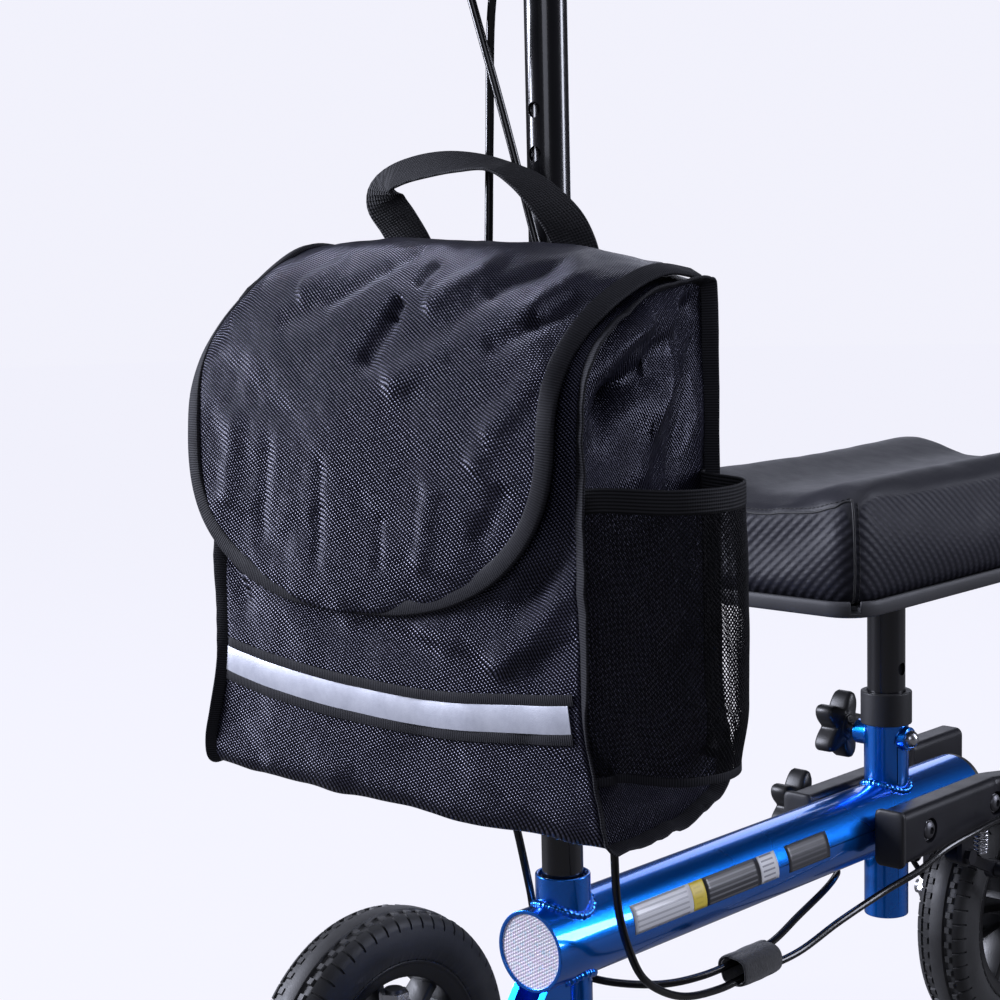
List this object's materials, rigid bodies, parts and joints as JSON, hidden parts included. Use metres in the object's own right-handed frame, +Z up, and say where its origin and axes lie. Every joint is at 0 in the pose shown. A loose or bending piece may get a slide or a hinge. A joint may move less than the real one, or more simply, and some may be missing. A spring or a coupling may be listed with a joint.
{
  "type": "knee scooter",
  "caption": "Steerable knee scooter with a padded knee rest, folding height-adjustable column, hand brakes and a flap-top bag with a side bottle pocket.",
  "frame": {"origin": "on the ground, at the middle of the bounding box seen from above", "axes": "+X forward, +Y to the rider's left, +Z up"},
  "size_m": [0.785, 0.53, 0.926],
  "materials": {
    "frame_blue": "glossy candy metallic blue paint",
    "gloss_black": "gloss black powder coat",
    "satin_black": "satin black powder coat",
    "knob_plastic": "satin moulded plastic",
    "black_plastic": "matt moulded plastic",
    "tray_plastic": "matt grey moulded plastic",
    "steel": "zinc-plated steel",
    "dark_steel": "dark phosphated steel",
    "lever_alloy": "satin aluminium",
    "bronze": "sintered bronze",
    "tyre_rubber": "solid rubber tyre",
    "rim_plastic": "satin black moulded wheel",
    "vinyl": "grained and carbon-pattern vinyl over foam",
    "bag_nylon": "coarse woven nylon with a sheen",
    "pocket_mesh": "black knitted mesh",
    "webbing": "black webbing",
    "reflective_tape": "grey retro-reflective tape",
    "reflector_foil": "prismatic silver reflector",
    "grip_foam": "closed-cell foam",
    "cable_jacket": "gloss black cable jacket"
  },
  "bodies": {
    "frame": {"main_tube": "frame_blue", "head_tube": "frame_blue", "seat_tube": "frame_blue", "seat_collar": "black_plastic", "tube_reflector": "reflector_foil", "tube_end_cap": "black_plastic", "axle_beam": "frame_blue", "kingpin_bushes": "bronze", "headset_bearings": "dark_steel", "rear_arm_left": "satin_black", "rear_arm_right": "satin_black", "arm_end_caps": "black_plastic", "arm_spacers": "frame_blue", "cross_bolts": "steel", "rear_axle": "steel", "brake_bands": "dark_steel", "brake_brackets": "satin_black", "brake_spring_left": "steel", "brake_spring_right": "steel", "brake_cable_left": "cable_jacket", "brake_cable_right": "cable_jacket", "cable_wrap": "webbing"},
    "steering": {"steerer": "gloss_black", "fold_hinge_lower": "satin_black"},
    "knuckle_left": {"knuckle_left": "dark_steel", "front_axle_left": "steel"},
    "knuckle_right": {"knuckle_right": "dark_steel", "front_axle_right": "steel"},
    "tie_rod_left": {"tie_rod_left": "dark_steel"},
    "tie_rod_right": {"tie_rod_right": "dark_steel"},
    "wheel_front_left": {"tyre_front_left": "tyre_rubber", "rim_front_left": "rim_plastic"},
    "wheel_front_right": {"tyre_front_right": "tyre_rubber", "rim_front_right": "rim_plastic"},
    "wheel_rear": {"tyre_rear": "tyre_rubber", "rim_rear": "rim_plastic", "brake_drums": "dark_steel"},
    "column": {"stem_sleeve": "gloss_black", "sleeve_collar": "black_plastic", "bag_body": "bag_nylon", "bottle_pocket": "pocket_mesh", "reflective_strip": "reflective_tape", "bag_handle": "webbing", "bag_straps": "webbing"},
    "flap": {"bag_flap": "bag_nylon"},
    "latch": {"fold_latch": "steel"},
    "stem_knob": {"stem_knob": "knob_plastic"},
    "bar": {"handlebar": "gloss_black", "grips": "grip_foam", "brake_perches": "satin_black"},
    "lever_left": {"brake_lever_left": "lever_alloy"},
    "lever_right": {"brake_lever_right": "lever_alloy"},
    "seat": {"seat_post": "gloss_black", "cushion_tray": "tray_plastic", "knee_cushion": "vinyl", "tray_screws": "steel"},
    "seat_knob": {"seat_knob": "knob_plastic"},
    "fork_knob": {"fork_knob": "knob_plastic"},
    "brake_arm_left": {"brake_arm_left": "satin_black"},
    "brake_arm_right": {"brake_arm_right": "satin_black"}
  },
  "joints": [
    {"name": "steer", "type": "hinge", "parent": "frame", "child": "steering", "pos_m": [0.2445, 0, 0.218], "axis": [0, 0, 1], "range_deg": [-35, 35], "deforming": ["brake_cable_left", "brake_cable_right"]},
    {"name": "knuckle_left_pivot", "type": "hinge", "parent": "frame", "child": "knuckle_left", "pos_m": [0.2795, 0.115, 0.139], "axis": [0, 0, 1], "range_deg": [-36, 36]},
    {"name": "knuckle_right_pivot", "type": "hinge", "parent": "frame", "child": "knuckle_right", "pos_m": [0.2795, -0.115, 0.139], "axis": [0, 0, 1], "range_deg": [-36, 36]},
    {"name": "tie_rod_left_pivot", "type": "hinge", "parent": "knuckle_left", "child": "tie_rod_left", "pos_m": [0.2345, 0.115, 0.1045], "axis": [0, 0, 1], "range_deg": [-36, 36]},
    {"name": "tie_rod_right_pivot", "type": "hinge", "parent": "knuckle_right", "child": "tie_rod_right", "pos_m": [0.2345, -0.115, 0.113], "axis": [0, 0, 1], "range_deg": [-36, 36]},
    {"name": "wheel_front_left_spin", "type": "hinge", "parent": "knuckle_left", "child": "wheel_front_left", "pos_m": [0.2615, 0.148, 0.105], "axis": [0, 1, 0], "continuous": true},
    {"name": "wheel_front_right_spin", "type": "hinge", "parent": "knuckle_right", "child": "wheel_front_right", "pos_m": [0.2615, -0.148, 0.105], "axis": [0, 1, 0], "continuous": true},
    {"name": "wheel_rear_spin", "type": "hinge", "parent": "frame", "child": "wheel_rear", "pos_m": [-0.2875, 0, 0.105], "axis": [0, 1, 0], "continuous": true},
    {"name": "column_fold", "type": "hinge", "parent": "steering", "child": "column", "pos_m": [0.2185, 0, 0.4802], "axis": [0, 1, 0], "range_deg": [-90, 0]},
    {"name": "latch_swing", "type": "hinge", "parent": "steering", "child": "latch", "pos_m": [0.2475, 0.027, 0.4642], "axis": [-1, 0, 0], "range_deg": [0, 75]},
    {"name": "bar_slide", "type": "slide", "parent": "column", "child": "bar", "axis": [0, 0, 1], "range_m": [-0.0508, 0.0254]},
    {"name": "stem_knob_turn", "type": "hinge", "parent": "column", "child": "stem_knob", "pos_m": [0.1945, 0, 0.592], "axis": [1, 0, 0], "continuous": true},
    {"name": "seat_slide", "type": "slide", "parent": "frame", "child": "seat", "axis": [0, 0, 1], "range_m": [-0.0508, 0.0508]},
    {"name": "seat_knob_turn", "type": "hinge", "parent": "frame", "child": "seat_knob", "pos_m": [-0.1155, -0.047, 0.276], "axis": [0, 1, 0], "continuous": true},
    {"name": "fork_knob_turn", "type": "hinge", "parent": "frame", "child": "fork_knob", "pos_m": [-0.095, -0.072, 0.218], "axis": [0, 1, 0], "continuous": true},
    {"name": "brake_lever_left_pull", "type": "hinge", "parent": "bar", "child": "lever_left", "pos_m": [0.2685, 0.125, 0.91], "axis": [0, 0, 1], "range_deg": [0, 14], "stiffness_Nm_per_rad": 2, "springref_deg": -8.59},
    {"name": "brake_lever_right_pull", "type": "hinge", "parent": "bar", "child": "lever_right", "pos_m": [0.2685, -0.125, 0.91], "axis": [0, 0, -1], "range_deg": [0, 14], "stiffness_Nm_per_rad": 2, "springref_deg": -8.59},
    {"name": "brake_arm_left_pull", "type": "hinge", "parent": "frame", "child": "brake_arm_left", "pos_m": [-0.1575, 0.0345, 0.183], "axis": [0, 1, 0], "range_deg": [0, 8], "deforming": ["brake_spring_left"]},
    {"name": "brake_arm_right_pull", "type": "hinge", "parent": "frame", "child": "brake_arm_right", "pos_m": [-0.1575, -0.0345, 0.183], "axis": [0, 1, 0], "range_deg": [0, 8], "deforming": ["brake_spring_right"]},
    {"name": "flap_open", "type": "hinge", "parent": "column", "child": "flap", "pos_m": [0.3045, 0, 0.639], "axis": [0, -1, 0], "range_deg": [0, 80]}
  ],
  "couplings": [
    {"joint": "knuckle_left_pivot", "follows": "steer", "ratio": 1},
    {"joint": "knuckle_right_pivot", "follows": "steer", "ratio": 1},
    {"joint": "tie_rod_left_pivot", "follows": "steer", "ratio": -1},
    {"joint": "tie_rod_right_pivot", "follows": "steer", "ratio": -1},
    {"joint": "brake_arm_left_pull", "follows": "brake_lever_right_pull", "ratio": 0.5},
    {"joint": "brake_arm_right_pull", "follows": "brake_lever_left_pull", "ratio": 0.5}
  ]
}
